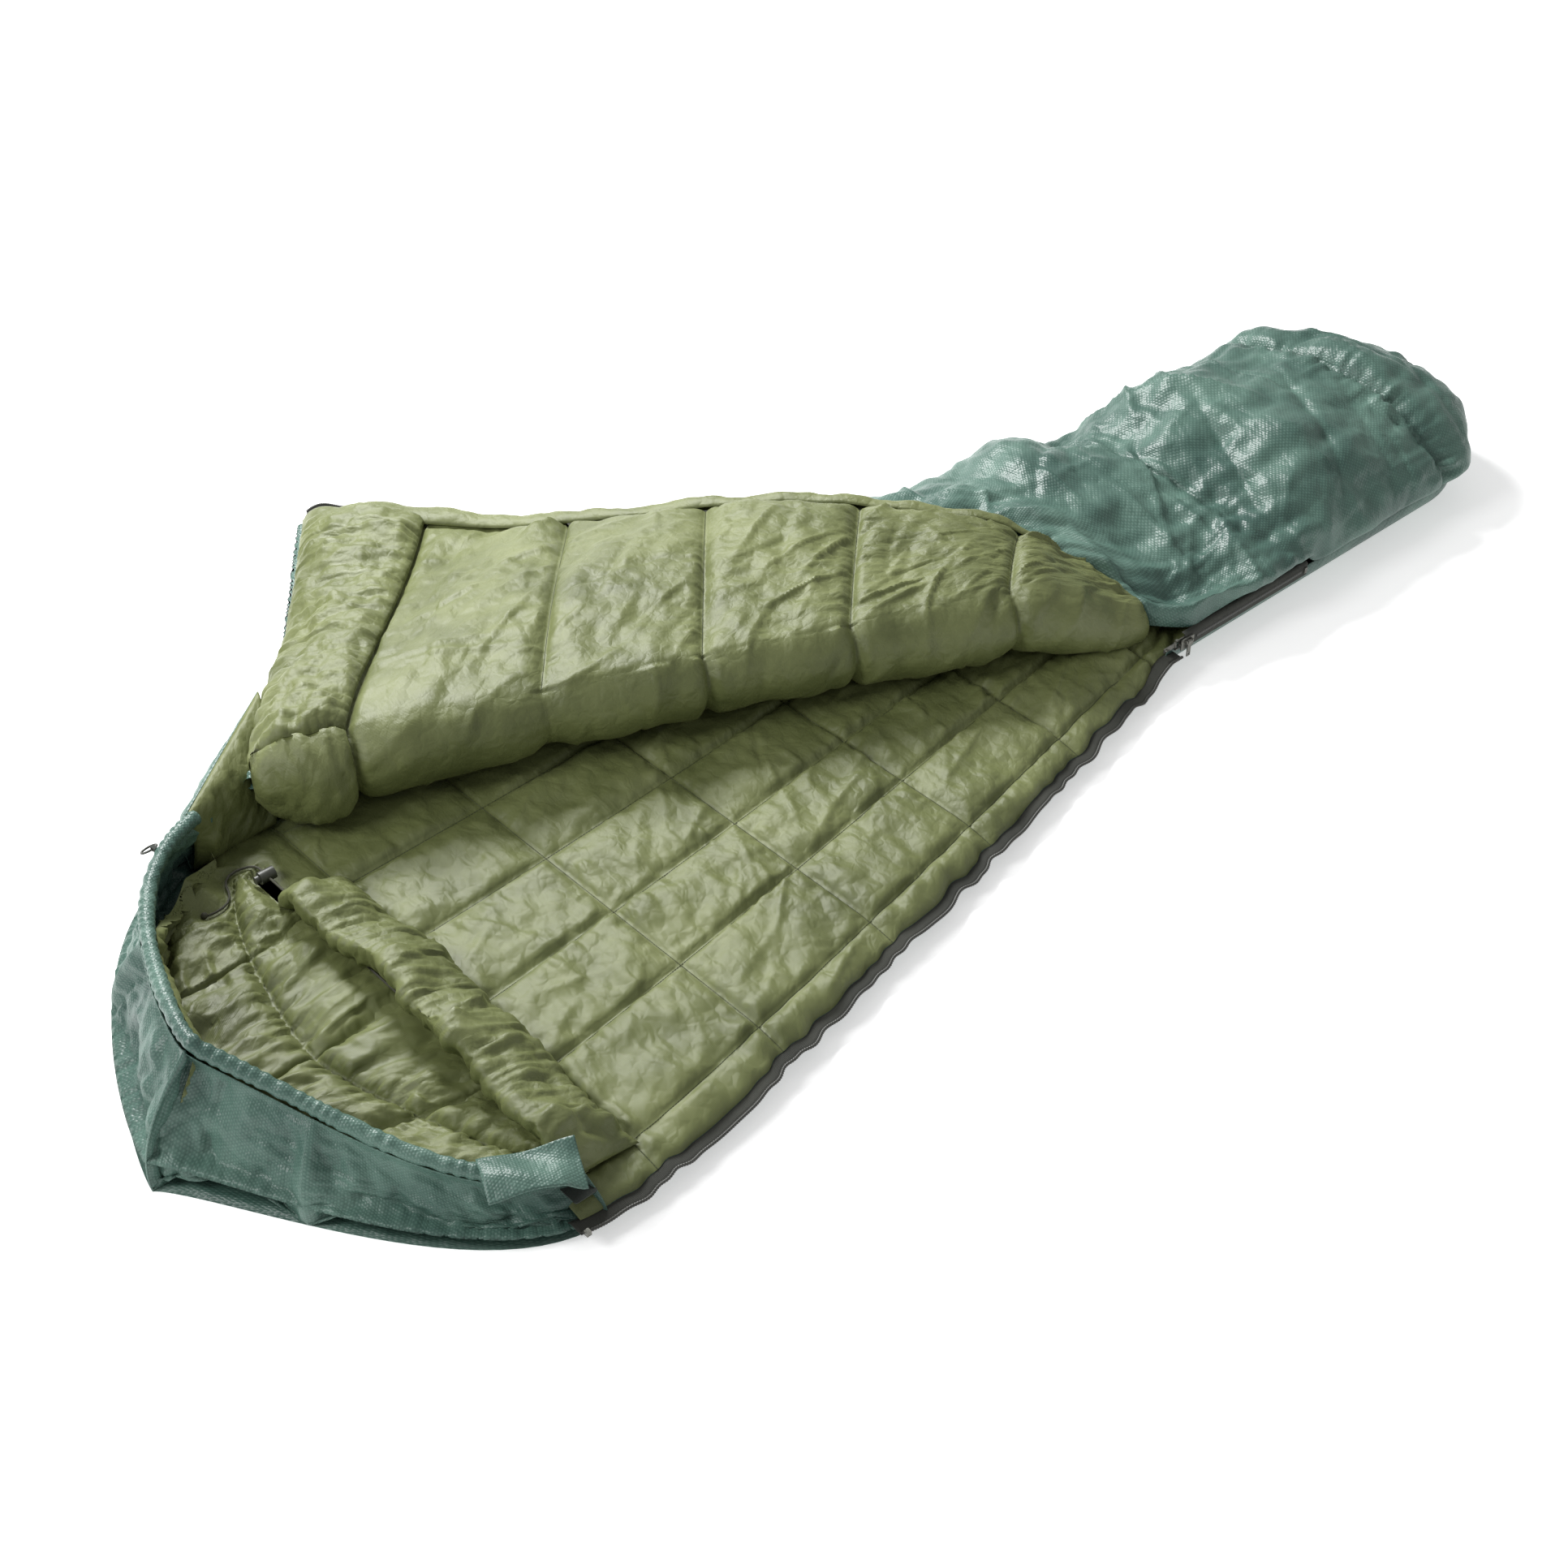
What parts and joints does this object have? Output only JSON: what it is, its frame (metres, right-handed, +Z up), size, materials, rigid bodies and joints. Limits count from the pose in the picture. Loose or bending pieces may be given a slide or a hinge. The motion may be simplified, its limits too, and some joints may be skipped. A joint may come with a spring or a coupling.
{
  "type": "mummy sleeping bag",
  "caption": "Quilted mummy sleeping bag lying open, its upper quilt unzipped and folded back, with shaped hood, neck baffle, foot box, side zip and cord lock.",
  "frame": {"origin": "on the flat underside, halfway along the bag on the hood's axis", "axes": "+X from the hood to the foot, +Y towards the side that the upper quilt is folded over, +Z up"},
  "size_m": [2.28, 1.3964, 0.19],
  "materials": {
    "shell_fabric": "teal polyester with a small honeycomb weave, slight sheen",
    "lining_fabric": "olive polyester satin",
    "insulation": "white hollow-fibre wadding",
    "webbing": "woven dark tape",
    "zip_coil": "dark nylon coil",
    "zip_metal": "dark painted die casting",
    "cord": "braided elastic cord",
    "lock_plastic": "moulded dark plastic",
    "spring_steel": "bare steel",
    "touch_fastener": "hook and loop tape"
  },
  "bodies": {
    "bag": {"back_shell": "shell_fabric", "back_fill": "insulation", "back_lining": "lining_fabric", "hood_base_shell": "shell_fabric", "hood_base_fill": "insulation", "hood_base_lining": "lining_fabric", "hood_side_near_shell": "shell_fabric", "hood_side_far_shell": "shell_fabric", "hood_near_fill": "insulation", "hood_far_fill": "insulation", "hood_side_lining": "lining_fabric", "hood_hem": "shell_fabric", "hood_drawcord": "cord", "hood_gusset": "shell_fabric", "hood_ring_tab": "webbing", "leg_shell": "shell_fabric", "thigh_fill": "insulation", "shin_fill": "insulation", "leg_lining": "lining_fabric", "foot_end_shell": "shell_fabric", "foot_end_fill": "insulation", "foot_end_lining": "lining_fabric", "fold_fill": "insulation", "fold_lining": "lining_fabric", "back_zip_tape": "webbing", "back_zip_coil": "zip_coil", "back_zip_stop": "zip_metal", "closed_zip_tape": "webbing", "closed_zip_coils": "zip_coil", "zip_end_stop": "zip_metal", "neck_baffle_cover": "lining_fabric", "neck_baffle_fill": "insulation", "neck_drawcord": "cord", "neck_cord_tail": "cord", "neck_cord_knot": "cord", "closure_loop_patch": "touch_fastener"},
    "flap": {"flap_shell": "shell_fabric", "flap_fill": "insulation", "flap_lining": "lining_fabric", "flap_hem": "shell_fabric", "flap_neck_baffle": "lining_fabric", "flap_draft_tube": "lining_fabric", "flap_zip_tape": "webbing", "flap_zip_coil": "zip_coil", "flap_zip_stop": "zip_metal"},
    "slider": {"zip_slider": "zip_metal"},
    "outer_pull": {"outer_pull": "zip_metal"},
    "inner_pull": {"inner_pull": "zip_metal"},
    "cord_lock": {"cord_lock_barrel": "lock_plastic", "cord_lock_spring": "spring_steel"},
    "lock_button": {"cord_lock_button": "lock_plastic"},
    "rim_ring": {"hood_ring": "lock_plastic"},
    "tab": {"closure_tab": "shell_fabric", "closure_tab_hooks": "touch_fastener"}
  },
  "joints": [
    {"name": "flap_fold", "type": "hinge", "parent": "bag", "child": "flap", "pos_m": [-0.75, 0.4, 0.10615], "axis": [0.925, -0.3799, 0], "range_deg": [0, 150], "deforming": ["fold_fill", "fold_lining"]},
    {"name": "zip_run", "type": "slide", "parent": "bag", "child": "slider", "axis": [1, 0, 0], "range_m": [0, 0.19]},
    {"name": "outer_pull_swing", "type": "hinge", "parent": "slider", "child": "outer_pull", "pos_m": [0.393, -0.1314, 0.05], "axis": [-1, 0, 0], "range_deg": [0, 100]},
    {"name": "inner_pull_swing", "type": "hinge", "parent": "slider", "child": "inner_pull", "pos_m": [0.3764, -0.1204, 0.046], "axis": [0, 0, -1], "range_deg": [0, 50]},
    {"name": "lock_slide", "type": "slide", "parent": "bag", "child": "cord_lock", "axis": [0, -1, 0], "range_m": [0, 0.03]},
    {"name": "lock_press", "type": "slide", "parent": "cord_lock", "child": "lock_button", "axis": [1, 0, 0], "range_m": [0, 0.003], "stiffness_N_per_m": 400, "springref_m": -0.002, "deforming": ["cord_lock_spring"]},
    {"name": "ring_swing", "type": "hinge", "parent": "bag", "child": "rim_ring", "pos_m": [-0.91514, 0.34064, 0.13293], "axis": [-0.9765, -0.2154, 0], "range_deg": [-60, 0]},
    {"name": "tab_lift", "type": "hinge", "parent": "bag", "child": "tab", "pos_m": [-0.914, -0.29, 0.089], "axis": [-0.4067, -0.9135, 0], "range_deg": [0, 105]}
  ]
}
